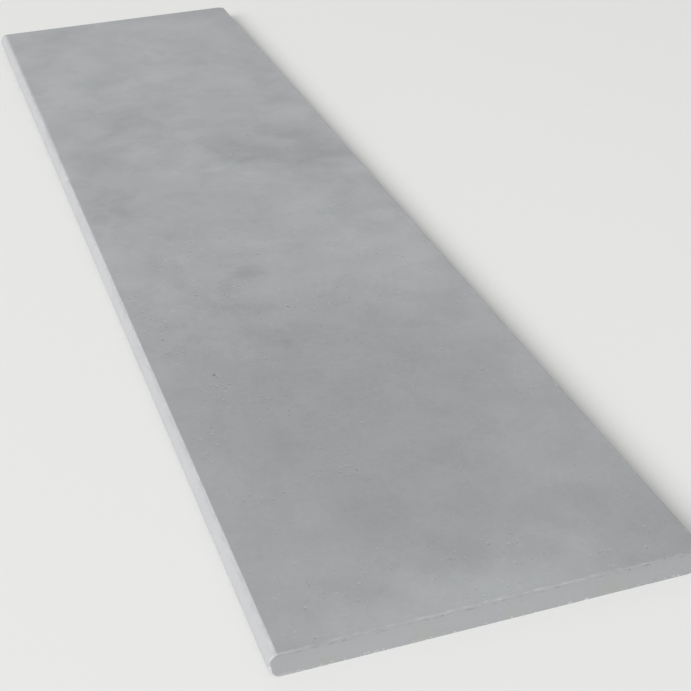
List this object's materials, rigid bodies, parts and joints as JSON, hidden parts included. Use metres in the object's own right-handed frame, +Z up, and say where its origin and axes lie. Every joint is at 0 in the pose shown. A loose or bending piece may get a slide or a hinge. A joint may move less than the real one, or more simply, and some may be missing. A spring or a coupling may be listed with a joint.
{
  "type": "bullnose coping stone",
  "caption": "Long thin slab of smooth grey stone with a rounded front edge, a square back and rubbed arrises, laid flat as a wall or pool coping.",
  "frame": {"origin": "middle of the bed, on the surface that the stone lies on", "axes": "+X along the stone, -Y out of the rounded nose, +Y out of the square back, +Z up out of the top"},
  "size_m": [1.4, 0.33, 0.02],
  "materials": {
    "grey_stone": "matte"
  },
  "bodies": {
    "root": {"coping_stone": "grey_stone"}
  },
  "joints": []
}
